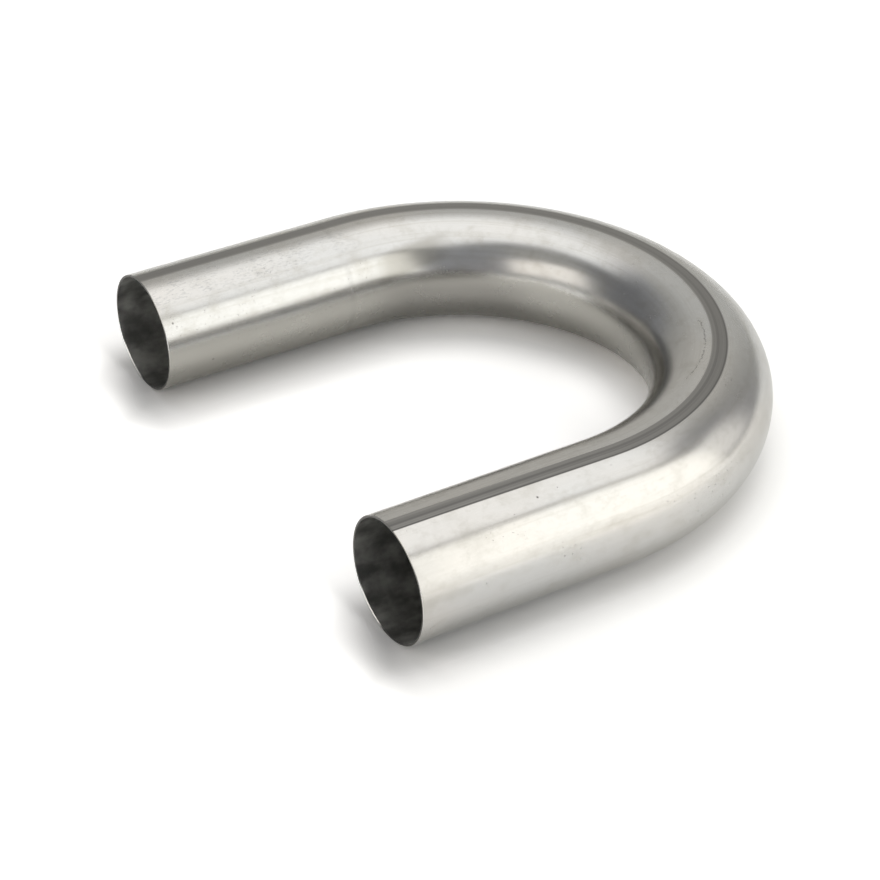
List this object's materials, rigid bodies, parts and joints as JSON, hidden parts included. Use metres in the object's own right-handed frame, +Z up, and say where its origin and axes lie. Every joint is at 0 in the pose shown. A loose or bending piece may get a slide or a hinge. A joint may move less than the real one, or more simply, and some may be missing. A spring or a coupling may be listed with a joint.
{
  "type": "return bend",
  "caption": "Thin-walled round steel tube bent through a half turn, with a straight leg and an open sawn mouth at each end.",
  "frame": {"origin": "under the middle of the bend's box, on the surface that it lies on", "axes": "+Z up, out of the plane that the bend lies in; the legs run towards -X and the crown of the bend is at +X; the leg that is further from the picture's camera is on the +Y side"},
  "size_m": [0.2793, 0.3174, 0.0635],
  "materials": {
    "tube_steel": "bright drawn stainless steel with fine lines along the tube and a duller strip where the weld seam was dressed"
  },
  "bodies": {
    "root": {"bent_tube": "tube_steel"}
  },
  "joints": []
}
